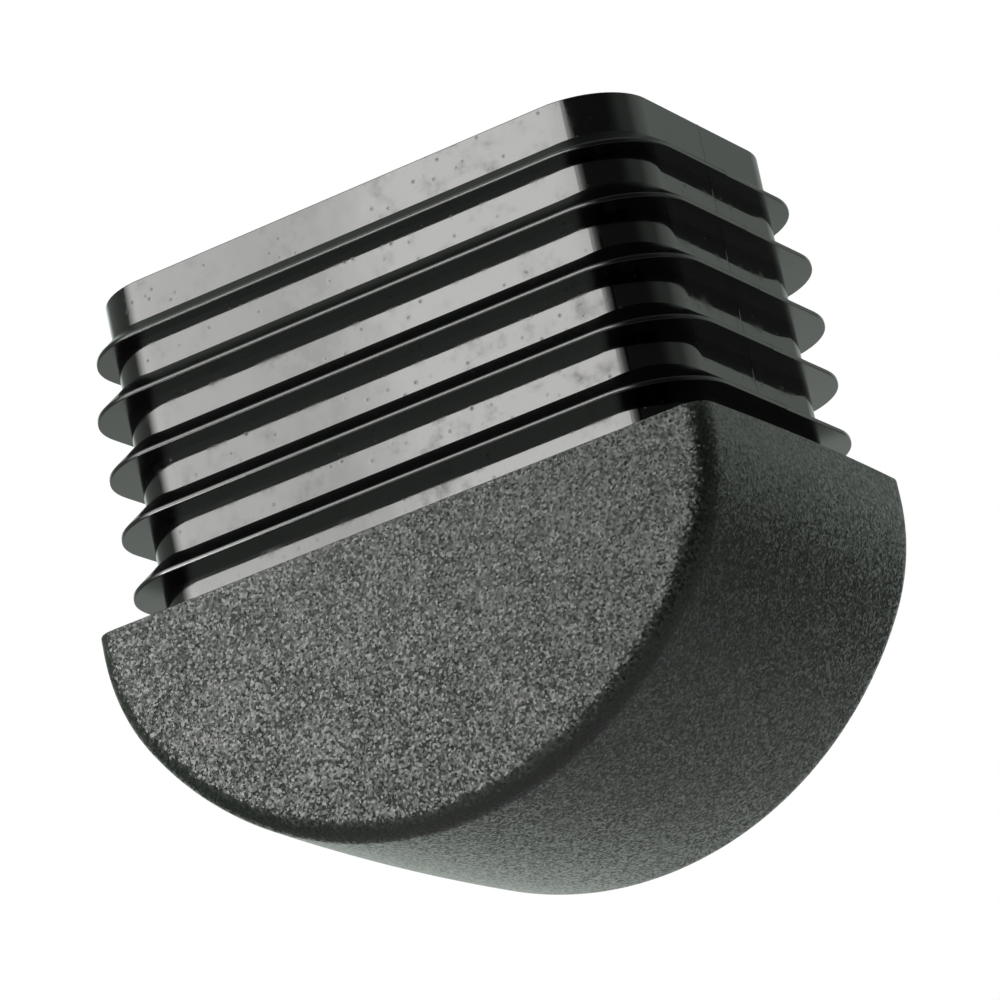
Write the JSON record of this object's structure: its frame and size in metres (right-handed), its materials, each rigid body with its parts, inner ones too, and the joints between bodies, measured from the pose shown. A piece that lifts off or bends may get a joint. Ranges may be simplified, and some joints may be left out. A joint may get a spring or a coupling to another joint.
{
  "type": "rectangular tube end cap",
  "caption": "Half-round end cap for a rectangular tube: a hollow finned plug grips the tube from inside, and a grained rounded head closes its end as a foot.",
  "frame": {"origin": "centre of the shoulder plane, where the end of the tube seats", "axes": "+Z out of the head and along the plug into the tube, +X along the 50 mm width, +Y through the 30 mm thickness from one flat face to the other"},
  "size_m": [0.05, 0.03, 0.0466],
  "materials": {
    "black_polyethylene": "moulded black polyethylene, spark-eroded grain on the head and gloss on the plug"
  },
  "bodies": {
    "root": {"end_cap": "black_polyethylene"}
  },
  "joints": []
}
